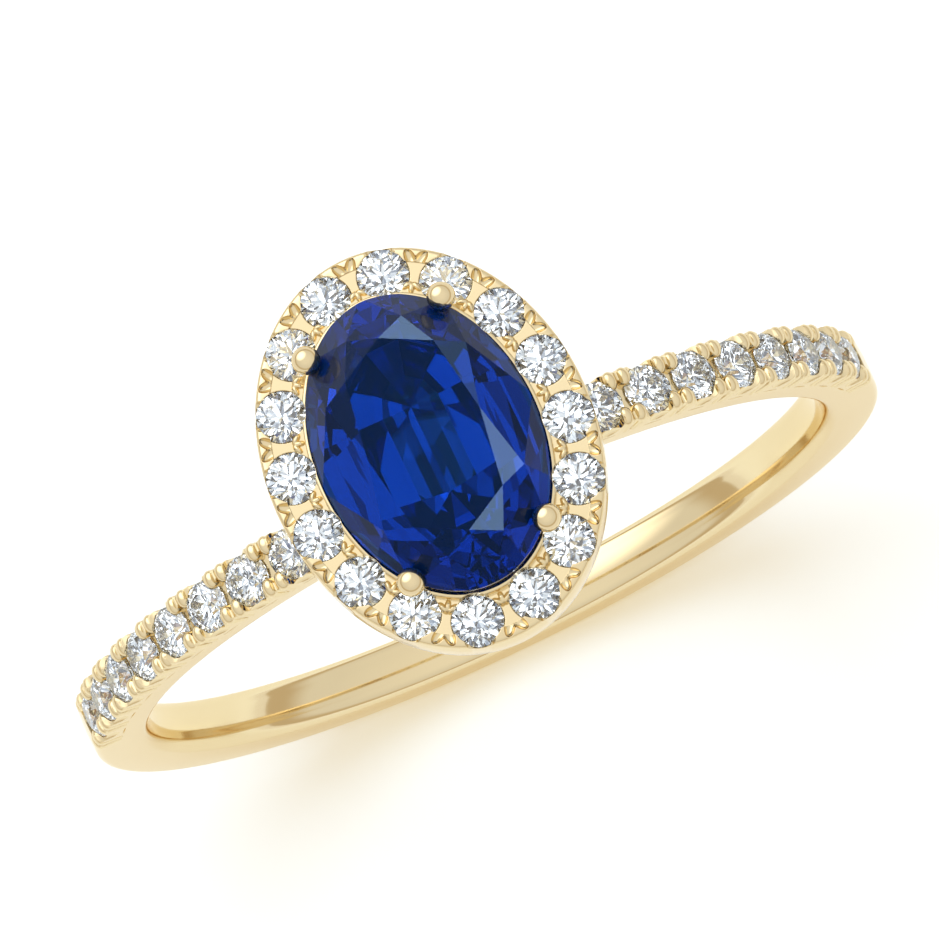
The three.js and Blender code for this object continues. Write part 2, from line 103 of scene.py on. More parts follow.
def choose(piece, kind, wanted):
    """Selects the faces, edges or vertices whose centre the test wants, in edit mode."""
    modes = {
        "VERT": (True, False, False),
        "EDGE": (False, True, False),
        "FACE": (False, False, True),
    }
    bpy.ops.object.mode_set(mode="EDIT")
    bpy.ops.mesh.select_all(action="DESELECT")
    bpy.context.tool_settings.mesh_select_mode = modes[kind]
    bpy.ops.object.mode_set(mode="OBJECT")
    mesh = piece.data
    for edge in mesh.edges:
        if kind == "EDGE":
            ends = [mesh.vertices[v].co for v in edge.vertices]
            edge.select = wanted((ends[0] + ends[1]) / 2, ends[1] - ends[0])
    for face in mesh.polygons:
        if kind == "FACE":
            face.select = wanted(face.center, face.normal)
    for vertex in mesh.vertices:
        if kind == "VERT":
            vertex.select = wanted(vertex.co, vertex.normal)
    bpy.ops.object.mode_set(mode="EDIT")


def close_mesh(piece, gap=1e-4):
    """Merges doubles and turns all faces outwards."""
    pick(piece)
    bpy.ops.object.mode_set(mode="EDIT")
    bpy.ops.mesh.select_all(action="SELECT")
    bpy.ops.mesh.remove_doubles(threshold=gap)
    bpy.ops.mesh.normals_make_consistent(inside=False)
    bpy.ops.object.mode_set(mode="OBJECT")


def carve(piece, tools, operation="DIFFERENCE"):
    """Cuts the tools out of a piece, or joins them to it, and clears them away."""
    tray = bpy.data.collections.new("tray")
    for tool in tools:
        tray.objects.link(tool)
    pick(piece)
    cut = piece.modifiers.new("cut", "BOOLEAN")
    cut.operation = operation
    cut.operand_type = "COLLECTION"
    cut.collection = tray
    cut.solver = "MANIFOLD"
    bpy.ops.object.modifier_apply(modifier=cut.name)
    for tool in tools:
        bpy.data.objects.remove(tool)
    bpy.data.collections.remove(tray)


def copies(master, places):
    """One tool for each place, and the master is cleared away."""
    made = []
    for place in places:
        twin = master.copy()
        twin.data = master.data.copy()
        twin.matrix_world = place @ master.matrix_world
        bpy.context.scene.collection.objects.link(twin)
        made.append(twin)
    bpy.data.objects.remove(master)
    return made


def spun(name, profile, steps, axis=(0, 0, 1), closed=False, turn=2 * math.pi):
    """A profile turned round an axis: a closed one, or one that starts and ends on it."""
    mesh = bpy.data.meshes.new(name)
    edges = [(i, i + 1) for i in range(len(profile) - 1)]
    if closed:
        edges.append((len(profile) - 1, 0))
    mesh.from_pydata([Vector(p) for p in profile], edges, [])
    piece = bpy.data.objects.new(name, mesh)
    bpy.context.scene.collection.objects.link(piece)
    pick(piece)
    bpy.ops.object.mode_set(mode="EDIT")
    bpy.ops.mesh.select_all(action="SELECT")
    bpy.ops.mesh.spin(steps=steps, angle=turn, center=(0, 0, 0), axis=axis)
    bpy.ops.object.mode_set(mode="OBJECT")
    close_mesh(piece)
    return piece


def cap_ends(piece):
    """Fills the open ends of a half, so that it is a solid while it is worked."""
    pick(piece)
    bpy.ops.object.mode_set(mode="EDIT")
    bpy.context.tool_settings.mesh_select_mode = (False, True, False)
    bpy.ops.mesh.select_all(action="DESELECT")
    bpy.ops.mesh.select_non_manifold()
    bpy.ops.mesh.edge_face_add()
    bpy.ops.object.mode_set(mode="OBJECT")
    close_mesh(piece)


def mirrored(piece, axes):
    """Opens the ends that lie on the mirror planes, and makes the piece whole."""
    for axis in axes:
        def on_mirror(centre, normal):
            return abs(centre[axis]) < 1e-3 and abs(normal[axis]) > 0.99

        pick(piece)
        choose(piece, "FACE", on_mirror)
        bpy.ops.mesh.delete(type="FACE")
        bpy.ops.object.mode_set(mode="OBJECT")
        twin = piece.modifiers.new("twin", "MIRROR")
        twin.use_axis = [axis == i for i in range(3)]
        twin.use_clip = True
        twin.merge_threshold = 0.001
        pick(piece)
        bpy.ops.object.modifier_apply(modifier=twin.name)
    close_mesh(piece, 1e-5)


def lay_in_frame(piece, angle=32):
    """Brings a piece from the bench to its real size and smooths its gentle edges."""
    piece.matrix_world = Matrix.Scale(1 / BENCH, 4) @ piece.matrix_world
    pick(piece)
    bpy.ops.object.transform_apply(location=True, rotation=True, scale=True)
    bpy.ops.object.shade_smooth_by_angle(angle=math.radians(angle))
    piece.data.materials.clear()
    for face in piece.data.polygons:
        face.material_index = 0


def on_band(radius, along, angle):
    """A place on the band: from the finger's axis out, along the finger, and round."""
    return Matrix.Rotation(angle, 4, "Y") @ Matrix.Translation((0, along, radius))


def fed(tree, socket, value):
    """Gives a socket what another node puts out, or else a fixed value."""
    if isinstance(value, bpy.types.NodeSocket):
        tree.links.new(value, socket)
    else:
        socket.default_value = value


def blend(tree, share, first, second, kind="MIX"):
    """Two colours, mixed by a share."""
    mix = tree.nodes.new("ShaderNodeMix")
    mix.data_type = "RGBA"
    mix.blend_type = kind
    for name, value in (("Factor", share), ("A", first), ("B", second)):
        fed(tree, mix.inputs[name], value)
    return mix.outputs["Result"]


def calculated(tree, operation, first, second):
    """The result of one sum on two values."""
    step = tree.nodes.new("ShaderNodeMath")
    step.operation = operation
    fed(tree, step.inputs[0], first)
    fed(tree, step.inputs[1], second)
    return step.outputs[0]


def soft_step(tree, value, start, end, low=0.0, high=1.0):
    """A smooth step from one level to another, as a value passes from start to end."""
    step = tree.nodes.new("ShaderNodeMapRange")
    step.interpolation_type = "SMOOTHSTEP"
    for name, number in (("From Min", start), ("From Max", end), ("To Min", low), ("To Max", high)):
        step.inputs[name].default_value = number
    tree.links.new(value, step.inputs["Value"])
    return step.outputs["Result"]


def polished_gold():
    """Polished gold alloy: slow shifts of tone, faint buffing lines and soft edges."""
    gold = bpy.data.materials.new("polished_gold")
    gold.use_nodes = True
    nodes, links = gold.node_tree.nodes, gold.node_tree.links
    shader = nodes["Principled BSDF"]
    shader.inputs["Metallic"].default_value = 1
    shader.inputs["Specular Tint"].default_value = (0.97, 0.92, 0.82, 1)
    where = nodes.new("ShaderNodeTexCoord")
    cloud = nodes.new("ShaderNodeTexNoise")
    cloud.inputs["Scale"].default_value = 260
    cloud.inputs["Detail"].default_value = 3
    links.new(where.outputs["Object"], cloud.inputs["Vector"])
    tone = blend(gold.node_tree, cloud.outputs["Fac"], GOLD_COLOUR, GOLD_DEEP)
    links.new(tone, shader.inputs["Base Color"])
    stretch = nodes.new("ShaderNodeMapping")
    stretch.inputs["Scale"].default_value = (900, 12600, 900)
    links.new(where.outputs["Object"], stretch.inputs["Vector"])
    lines = nodes.new("ShaderNodeTexNoise")
    lines.inputs["Scale"].default_value = 1
    lines.inputs["Detail"].default_value = 4
    links.new(stretch.outputs["Vector"], lines.inputs["Vector"])
    gloss = nodes.new("ShaderNodeMapRange")
    gloss.inputs["To Min"].default_value = 0.06
    gloss.inputs["To Max"].default_value = 0.0975
    links.new(lines.outputs["Fac"], gloss.inputs["Value"])
    links.new(gloss.outputs["Result"], shader.inputs["Roughness"])
    edge = nodes.new("ShaderNodeBevel")
    edge.samples = 6
    edge.inputs["Radius"].default_value = 0.000025
    rub = nodes.new("ShaderNodeBump")
    rub.inputs["Strength"].default_value = 0.02
    rub.inputs["Distance"].default_value = 0.00001
    links.new(lines.outputs["Fac"], rub.inputs["Height"])
    links.new(edge.outputs["Normal"], rub.inputs["Normal"])
    links.new(rub.outputs["Normal"], shader.inputs["Normal"])
    return gold


def band_section():
    """The band's section in the YZ plane, below the finger's axis: softly crowned inside."""
    half = BAND_WIDTH / 2
    inner, outer, crown = 0.30, 0.17, 0.035
    points = []
    for step in range(9):
        share = step / 8 * 2 - 1
        points.append((share * (half - inner), FINGER_BORE + crown * share * share))
    for step in range(1, 9):
        turn = math.radians(90 * step / 8)
        y = half - inner + inner * math.sin(turn)
        points.append((y, FINGER_BORE + crown + (inner - crown) * (1 - math.cos(turn))))
    for step in range(7):
        turn = math.radians(90 * step / 6)
        y = half - outer + outer * math.cos(turn)
        points.append((y, BAND_OUTSIDE - 0.02 - outer + outer * math.sin(turn)))
    for step in range(1, 8):
        share = 1 - step / 8 * 2
        points.append((share * (half - outer), BAND_OUTSIDE - 0.02 * share * share))
    mirrored = []
    for y, radius in points[9:24]:
        mirrored.append((-y, radius))
    return [(0, y, -radius) for y, radius in points + mirrored[::-1]]


# Both shoulders are alike, so one half is worked, from the bottom to the top, and mirrored.
shank = spun(
    "gold_shank", band_section(), BAND_STEPS // 2, axis=(0, 1, 0), closed=True, turn=math.pi
)
cap_ends(shank)


def channel_cutter():
    """The channel milled along the middle of the shoulder, down to the floor of the stones."""
    outside = BAND_OUTSIDE + 1
    bpy.ops.object.select_all(action="DESELECT")
    bpy.ops.mesh.primitive_plane_add(size=1, location=(0, 0, 0))
    cutter = new_piece("channel_cutter")
    cutter.scale = (outside - CHANNEL_FLOOR, CHANNEL_WIDTH, 1)
    cutter.location = ((CHANNEL_FLOOR + outside) / 2, 0, 0)
    bpy.ops.object.transform_apply(location=True, rotation=False, scale=True)
    cutter.rotation_euler = (0, CHANNEL_START - math.pi / 2, 0)
    bpy.ops.object.transform_apply(location=False, rotation=True, scale=False)
    bpy.ops.object.mode_set(mode="EDIT")
    bpy.ops.mesh.select_all(action="SELECT")
    bpy.ops.mesh.spin(
        steps=60, angle=CHANNEL_START - CHANNEL_END, center=(0, 0, 0), axis=(0, 1, 0)
    )
    bpy.ops.object.mode_set(mode="OBJECT")
    close_mesh(cutter)
    return cutter


def head_flat_cutter():
    bpy.ops.object.select_all(action="DESELECT")
    bpy.ops.mesh.primitive_cube_add(size=6, location=(0, 0, HEAD_FLAT + 3))
    return new_piece("head_flat_cutter")


def stone_angles():
    return [FIRST_STONE + i * STONE_PITCH for i in range(STONES_A_SIDE)]


def scallop_cutters():
    """U-shaped cuts across the band, one at each stone, that leave a tab between two."""
    bpy.ops.object.select_all(action="DESELECT")
    bpy.ops.mesh.primitive_cylinder_add(
        vertices=40, radius=SCALLOP_RADIUS, depth=3, rotation=(math.pi / 2, 0, 0)
    )
    cutter = new_piece("scallop_cutter")
    return copies(cutter, [on_band(GIRDLE_RADIUS + SCALLOP_RISE, 0, a) for a in stone_angles()])


def seat_cutter(stone, hole_depth, hold):
    """The seat of a round stone: a light hole, a cone, the girdle, and metal over its edge."""
    gap = 0.012
    radius = stone / 2 + gap
    half = 0.015 * stone + gap
    hole = 0.2
    cone = -half - 0.43 * stone * (radius - hole) / radius
    lip = stone / 2 - hold
    above = 0.6
    profile = [
        (0, 0, -hole_depth),
        (hole, 0, -hole_depth),
        (hole, 0, cone),
        (radius, 0, -half),
        (radius, 0, half),
        (lip, 0, half + 0.72 * (radius - lip)),
        (lip, 0, above),
        (0, 0, above),
    ]
    return spun("seat_cutter", profile, 64)


def bead_post(radius, top, root):
    """One raised bead: a round post with a domed head, the floor at z = 0."""
    bpy.ops.object.select_all(action="DESELECT")
    bpy.ops.mesh.primitive_cylinder_add(
        vertices=20, radius=radius, depth=top + root, location=(0, 0, (top - root) / 2)
    )
    post = new_piece("bead_post")
    bpy.ops.object.transform_apply(location=True, rotation=True, scale=True)
    choose(post, "EDGE", lambda centre, along: centre.z > top - 1e-4)
    bpy.ops.mesh.bevel(offset=0.9 * radius, segments=6, profile=0.5, affect="EDGES")
    bpy.ops.object.mode_set(mode="OBJECT")
    close_mesh(post)
    return post


def between_stones():
    return [FIRST_STONE + (i - 0.5) * STONE_PITCH for i in range(STONES_A_SIDE + 1)]


def both_sides(radius, along, angles):
    """The same place on both sides of the band, at each angle."""
    return [on_band(radius, side * along, angle) for angle in angles for side in (-1, 1)]


def shoulder_beads():
    """A pair of round beads on each tab of metal between two stones, leaning over them."""
    post = bead_post(BEAD_RADIUS, BAND_OUTSIDE - PAVE_FLOOR + 0.02, BEAD_ROOT)
    post.scale = (1, BEAD_STRETCH, 1)
    pick(post)
    bpy.ops.object.transform_apply(location=False, rotation=False, scale=True)
    places = []
    for middle in between_stones():
        for side in (-1, 1):
            for shift in (-1, 1):
                angle = middle + shift * BEAD_SHIFT / PAVE_FLOOR
                lean = Matrix.Rotation(shift * BEAD_LEAN, 4, "Y")
                places.append(on_band(PAVE_FLOOR, side * BEAD_ALONG, angle) @ lean)
    return copies(post, places)


def egg(name, half_sizes, segments, rings):
    """A ball stretched to three half sizes, the shape that a graver or a burr leaves."""
    bpy.ops.object.select_all(action="DESELECT")
    bpy.ops.mesh.primitive_uv_sphere_add(segments=segments, ring_count=rings, radius=1)
    ball = new_piece(name)
    ball.scale = half_sizes
    bpy.ops.object.transform_apply(location=True, rotation=True, scale=True)
    return ball


def tab_grooves():
    """The cut that parts the two beads of a tab, over its top and down the side wall."""
    bpy.ops.object.select_all(action="DESELECT")
    bpy.ops.mesh.primitive_cylinder_add(
        vertices=24, radius=GROOVE_RADIUS, depth=0.6, rotation=(math.pi / 2, 0, 0)
    )
    over = new_piece("groove_over")
    down = egg("groove_down", SIDE_GROOVE, 24, 16)
    tops = both_sides(BAND_OUTSIDE - 0.02, GROOVE_ALONG, between_stones())
    sides = both_sides(PAVE_FLOOR - 0.06, SIDE_GROOVE_ALONG, between_stones())
    return copies(over, tops) + copies(down, sides)


def hollow_cutters():
    """The spoon-shaped hollows in the side walls that let light in under the stones."""
    cutter = egg("hollow_cutter", HOLLOW, 32, 20)
    return copies(cutter, both_sides(GIRDLE_RADIUS + 0.02, HOLLOW_ALONG, stone_angles()))


def slit_cutters():
    """The thin graver's cut in the side wall below each stone."""
    cutter = egg("slit_cutter", SLIT, 24, 12)
    places = both_sides(GIRDLE_RADIUS - SLIT_DROP, BAND_WIDTH / 2, stone_angles())
    return copies(cutter, places)


carve(shank, [channel_cutter(), head_flat_cutter()])
carve(shank, scallop_cutters())
carve(shank, shoulder_beads(), "UNION")
carve(shank, hollow_cutters())
carve(shank, tab_grooves())
carve(shank, slit_cutters())
seats = [on_band(GIRDLE_RADIUS, 0, angle) for angle in stone_angles()]
carve(shank, copies(seat_cutter(SHOULDER_STONE, 2.5, 0.085), seats))
mirrored(shank, [0])
lay_in_frame(shank)
GOLD = polished_gold()
shank.data.materials.append(GOLD)
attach(shank, "root")
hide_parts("shank")

# ---- head base ----
# An oval ring sawn from gold plate and soldered on the flat that is filed on top of the
# shank. The four claws stand on it.

BASE_OUTSIDE = (1.28, 1.58)
BASE_WALL = 0.75
BASE_FROM, BASE_TO = 9.925, 10.375
BASE_EDGE = 0.06


def oval_ring(name, outside, inside, low, high, sides, edge):
    """A flat oval ring with rounded edges, between two heights."""
    bpy.ops.object.select_all(action="DESELECT")
    bpy.ops.mesh.primitive_circle_add(vertices=sides, radius=1, location=(0, 0, 0))
    ring = new_piece(name)
    bpy.ops.object.mode_set(mode="EDIT")
    bpy.ops.mesh.select_all(action="SELECT")
    bpy.ops.transform.resize(value=(outside[0], outside[1], 1))
    bpy.ops.mesh.duplicate()
    bpy.ops.transform.resize(value=(inside[0] / outside[0], inside[1] / outside[1], 1))
    bpy.ops.mesh.select_all(action="SELECT")
    bpy.ops.mesh.bridge_edge_loops()
    bpy.ops.mesh.select_all(action="SELECT")
    bpy.ops.transform.translate(value=(0, 0, low))
    bpy.ops.mesh.extrude_region_move(TRANSFORM_OT_translate={"value": (0, 0, high - low)})
    bpy.ops.object.mode_set(mode="OBJECT")
    close_mesh(ring)
    if edge:
        rounding = ring.modifiers.new("rounding", "BEVEL")
        rounding.width = edge
        rounding.segments = 4
        rounding.limit_method = "ANGLE"
        rounding.angle_limit = math.radians(50)
        pick(ring)
        bpy.ops.object.modifier_apply(modifier=rounding.name)
    return ring


def smaller(oval, by):
    return (oval[0] - by, oval[1] - by)


head_base = oval_ring(
    "gold_head_base",
    BASE_OUTSIDE, smaller(BASE_OUTSIDE, BASE_WALL), BASE_FROM, BASE_TO, 96, BASE_EDGE,
)
lay_in_frame(head_base)
head_base.data.materials.append(GOLD)
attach(head_base, "root")
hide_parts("head_base")

# ---- gallery rail ----
# An oval hoop of gold wire, halfway up the basket. It is soldered to the outside of the
# four claws and keeps them from spreading.

RAIL_OUTSIDE = (1.933, 2.478)
RAIL_WIDTH = 0.42
RAIL_FROM, RAIL_TO = 11.075, 11.455
RAIL_EDGE = 0.14

gallery_rail = oval_ring(
    "gold_gallery_rail",
    RAIL_OUTSIDE, smaller(RAIL_OUTSIDE, RAIL_WIDTH), RAIL_FROM, RAIL_TO, 128, RAIL_EDGE,
)
lay_in_frame(gallery_rail)
gallery_rail.data.materials.append(GOLD)
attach(gallery_rail, "root")
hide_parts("gallery_rail")

# ---- halo frame ----
# The oval gold collar that carries the halo stones. Bright-cut: between every two stones
# it keeps a tab of metal outside, scooped twice, and a fan of three grains inside.

HALO_OUTSIDE = (3.69, 4.69)
HALO_INSIDE = (2.20, 3.20)
HALO_BOTTOM, HALO_TOP = 12.0, 13.09
HALO_EDGE = 0.12
# The row of stones: its oval, its girdles and the floor between the stones.
HALO_STONE = 1.18
HALO_COUNT = 16
HALO_ROW = (3.09, 4.09)
HALO_GIRDLE = 12.92
HALO_FLOOR = 12.93
BRIDGE_REACH = (-0.27, 0.29)
# Each cut in a tab: its turn in degrees, then where it starts, how long, how wide a half and
# how deep. Cuts start this far out of the row.
TAB_REACH = 0.14
TAB_CUTS = (
    (-30, -0.02, 0.50, 0.125, 0.15),
    (30, -0.02, 0.50, 0.125, 0.15),
    (0, -0.08, 0.36, 0.045, 0.15),
)
GRAIN_TURNS = (130, 180, 230)
GRAIN = (0.15, 0.075, 0.12)
GRAIN_REACH = 0.15
GRAIN_PLACE = (-0.19, 0, 0.125)
GRAIN_DIP = math.radians(4)
# The fine wire of metal that stands up just round the sapphire.
RIM_OUTSIDE, RIM_INSIDE = (2.61, 3.61), (2.48, 3.48)
RIM_TOP = 13.34


def halo_places(wanted):
    """Each halo stone's centre at the bench, from the finger's side round to the top."""
    centres = []
    for i in range(wanted):
        low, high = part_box(f"halo_diamond_{i + 1:02d}")
        centre = (low + high) / 2 * BENCH
        centres.append(Vector((centre.x, centre.y, HALO_GIRDLE)))
    return centres


def standing(point):
    """A place on the halo whose X axis points straight out of the row."""
    out = math.atan2(point.y / HALO_ROW[1] ** 2, point.x / HALO_ROW[0] ** 2)
    return Matrix.Translation(point) @ Matrix.Rotation(out, 4, "Z")


def stone_places():
    """The stones of one quarter, each facing out of the row."""
    return [standing(point) for point in halo_places(HALO_COUNT // 4)]


def between_places():
    """The middle of each gap between two stones of one quarter, on the row's line."""
    centres = halo_places(HALO_COUNT)
    middles = []
    for i in range(HALO_COUNT // 4 + 1):
        chord = (centres[i] + centres[i - 1]) / 2
        share = math.hypot(chord.x / HALO_ROW[0], chord.y / HALO_ROW[1])
        middles.append(standing(Vector((chord.x / share, chord.y / share, HALO_GIRDLE))))
    return middles


def halo_scallop(name, radius, depth, place):
    """A round cut through one wall of the collar, at each stone."""
    bpy.ops.object.select_all(action="DESELECT")
    bpy.ops.mesh.primitive_cylinder_add(
        vertices=40, radius=radius, depth=depth, location=place, rotation=(0, math.pi / 2, 0)
    )
    return copies(new_piece(name), stone_places())


def fanned(piece, place, degrees, reach, dip=0.0):
    """Copies of a grain or a cut, turned about the end of a bridge and moved outwards."""
    fan = Matrix.Rotation(math.radians(degrees), 4, "Z") @ Matrix.Translation((reach, 0, 0))
    piece.matrix_world = Matrix.Translation(place) @ fan @ Matrix.Rotation(dip, 4, "Y")
    return copies(piece, between_places())


def tab_cuts():
    """The graver's cuts in each outer tab: two scoops that fan out and a notch between."""
    made = []
    for degrees, start, long, wide, deep in TAB_CUTS:
        cut = egg("tab_cut", (long / 2, wide, deep), 28, 20)
        place = (TAB_REACH, 0, HALO_TOP - HALO_GIRDLE + 0.02)
        made += fanned(cut, place, degrees, start + long / 2)
    return made


def inner_grains():
    """Three long rounded grains that spread from the inner end of each bridge."""
    made = []
    for degrees in GRAIN_TURNS:
        made += fanned(egg("grain", GRAIN, 24, 16), GRAIN_PLACE, degrees, GRAIN_REACH, GRAIN_DIP)
    return made


def only_quarter(piece):
    pick(piece)
    bpy.ops.object.mode_set(mode="EDIT")
    for side in ((1, 0, 0), (0, 1, 0)):
        bpy.ops.mesh.select_all(action="SELECT")
        bpy.ops.mesh.bisect(plane_co=(0, 0, 0), plane_no=side, use_fill=True, clear_inner=True)
    bpy.ops.object.mode_set(mode="OBJECT")
    close_mesh(piece, 1e-5)


halo_frame = oval_ring(
    "gold_halo_frame", HALO_OUTSIDE, HALO_INSIDE, HALO_BOTTOM, HALO_TOP, 256, HALO_EDGE
)
bridge_groove = oval_ring(
    "bridge_groove",
    smaller(HALO_ROW, -BRIDGE_REACH[1]), smaller(HALO_ROW, -BRIDGE_REACH[0]),
    HALO_FLOOR, HALO_TOP + 1, 256, 0,
)
under_sapphire = oval_ring(
    "under_sapphire", (2.5, 3.5), (1.5, 2.5), HALO_FLOOR, HALO_TOP + 1, 192, 0
)
inner_rim = oval_ring("inner_rim", RIM_OUTSIDE, RIM_INSIDE, HALO_FLOOR - 0.2, RIM_TOP, 256, 0.06)
# The collar is the same in all four quarters, so one quarter is worked and mirrored twice.
only_quarter(halo_frame)
carve(halo_frame, [bridge_groove, under_sapphire])
carve(
    halo_frame,
    halo_scallop("outer_scallop", 0.42, 1.0, (0.62, 0, 0.40))
    + halo_scallop("inner_scallop", 0.38, 0.5, (-0.45, 0, 0.36)),
)
carve(halo_frame, tab_cuts())
carve(halo_frame, inner_grains() + [inner_rim], "UNION")
carve(halo_frame, copies(seat_cutter(HALO_STONE, 2.0, 0.03), stone_places()))
only_quarter(halo_frame)
mirrored(halo_frame, [0, 1])
lay_in_frame(halo_frame)
halo_frame.data.materials.append(GOLD)
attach(halo_frame, "root")
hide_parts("halo_frame")

# ---- centre stone ----
# An oval 7 x 5 mm blue sapphire, cut and polished on a lap facet by facet: a brilliant
# crown over a pavilion that is stepped along the stone. It rests in notches in the claws.

STONE_LENGTH, STONE_WIDTH = 7.0, 5.0
STONE_GIRDLE = 13.57
CROWN_HEIGHT, GIRDLE_DEPTH, PAVILION_DEPTH = 0.95, 0.12, 2.15
CROWN_BASE = GIRDLE_DEPTH / 2
TABLE = CROWN_BASE + CROWN_HEIGHT
# The table's corners on one side: their angle in degrees and their reach.
TABLE_CORNERS = ((0, 0.544), (50, 0.672), (90, 0.68), (130, 0.672))
STAR_REACH = 0.81
# The steps of the pavilion: their share of its depth, and their reach there.
PAVILION_ROWS = ((0, 1.0), (0.2, 0.88), (0.51, 0.6), (0.79, 0.28), (1.0, 0.0))
PAVILION_SIDES = 12
KEEL = 0.30


def on_stone(reach, angle, height, stretch=0.0):
    """A point of the stone from its reach on the oval, its angle and its height."""
    return Vector((
        STONE_WIDTH / 2 * reach * math.cos(angle),
        STONE_LENGTH / 2 * (reach * math.sin(angle) + stretch),
        STONE_GIRDLE + height,
    ))


def star_tip(left, right):
    """Where the kites on both sides of a star meet, found by halving."""
    def fall(corner, angle):
        return (1 - STAR_REACH * math.cos(angle - corner[0])) / (1 - corner[1])

    low, high = left[0], right[0]
    for _ in range(40):
        middle = (low + high) / 2
        if fall(left, middle) < fall(right, middle):
            low = middle
        else:
            high = middle
    return low, fall(left, low)


def facet(a, b, c):
    """Grinds one flat facet through three points: what lies beyond it is lost."""
    centre = Vector((0, 0, STONE_GIRDLE))
    normal = (b - a).cross(c - a).normalized()
    if normal.dot(a - centre) < 0:
        normal = -normal
    bpy.ops.mesh.select_all(action="SELECT")
    bpy.ops.mesh.bisect(
        plane_co=a, plane_no=normal, use_fill=True, clear_outer=True, threshold=1e-5
    )


def grind_crown():
    """The table, then a star and two halves at each side of it, then the kites."""
    corners = [
        (math.radians(turn + more), reach) for more in (0, 180) for turn, reach in TABLE_CORNERS
    ]
    facet(on_stone(0.1, 0, TABLE), on_stone(0.1, 2, TABLE), on_stone(0.1, 4, TABLE))
    tips = []
    for i, corner in enumerate(corners):
        after = corners[(i + 1) % len(corners)]
        if after[0] < corner[0]:
            after = (after[0] + 2 * math.pi, after[1])
        angle, height = star_tip(corner, after)
        tip = on_stone(STAR_REACH, angle, CROWN_BASE + CROWN_HEIGHT * height)
        tips.append(tip)
        facet(on_stone(corner[1], corner[0], TABLE), on_stone(after[1], after[0], TABLE), tip)
        below = on_stone(1, angle, CROWN_BASE)
        for near in (corner[0] + 0.02, after[0] - 0.02):
            facet(tip, below, on_stone(1, near, CROWN_BASE + 0.01))
    for i, corner in enumerate(corners):
        facet(on_stone(corner[1], corner[0], TABLE), tips[i], tips[i - 1])


def step_corners(ends, step):
    """The two corners of one side of a pavilion step, drawn out towards the keel's ends."""
    depth, reach = step
    height = -CROWN_BASE - depth * PAVILION_DEPTH
    return [
        on_stone(reach, a, height, math.copysign(KEEL, math.sin(a)) * (1 - reach)) for a in ends
    ]


def grind_pavilion():
    """Four rows of steps, from the girdle down to the keel."""
    side = 2 * math.pi / PAVILION_SIDES
    for step, next_step in zip(PAVILION_ROWS, PAVILION_ROWS[1:]):
        for i in range(PAVILION_SIDES):
            ends = ((i + 0.5) * side, (i + 1.5) * side)
            upper = step_corners(ends, step)
            if step is PAVILION_ROWS[0]:
                upper = [on_stone(1, (ends[0] + ends[1]) / 2, -CROWN_BASE)] * 2
            lower = step_corners(ends, next_step)
            if (lower[1] - lower[0]).length > 1e-4:
                facet(lower[0], lower[1], upper[0])
            else:
                facet(upper[0], upper[1], lower[0])


bpy.ops.object.select_all(action="DESELECT")
bpy.ops.mesh.primitive_cylinder_add(
    vertices=160, radius=1, depth=CROWN_HEIGHT + GIRDLE_DEPTH + PAVILION_DEPTH + 1,
    location=(0, 0, STONE_GIRDLE + (CROWN_HEIGHT - PAVILION_DEPTH) / 2),
)
sapphire = new_piece("oval_sapphire")
sapphire.scale = (STONE_WIDTH / 2, STONE_LENGTH / 2, 1)
bpy.ops.object.transform_apply(location=True, rotation=True, scale=True)
bpy.ops.object.mode_set(mode="EDIT")
grind_crown()
grind_pavilion()
bpy.ops.object.mode_set(mode="OBJECT")
close_mesh(sapphire)
# The claws are notched with a copy of the stone.
notch_master = sapphire.copy()
notch_master.data = sapphire.data.copy()
bpy.context.scene.collection.objects.link(notch_master)
lay_in_frame(sapphire, 1)


def cut_stone(name, colour, tint, ior):
    """A clear gemstone: polished facets, with faint growth zones in its colour."""
    gem = bpy.data.materials.new(name)
    gem.use_nodes = True
    nodes, links = gem.node_tree.nodes, gem.node_tree.links
    shader = nodes["Principled BSDF"]
    shader.inputs["Roughness"].default_value = 0
    shader.inputs["IOR"].default_value = ior
    shader.inputs["Transmission Weight"].default_value = 1
    where = nodes.new("ShaderNodeTexCoord")
    zones = nodes.new("ShaderNodeTexNoise")
    zones.inputs["Scale"].default_value = 500
    zones.inputs["Detail"].default_value = 2
    links.new(where.outputs["Object"], zones.inputs["Vector"])
    links.new(blend(gem.node_tree, zones.outputs["Fac"], colour, tint), shader.inputs["Base Color"])
    return gem


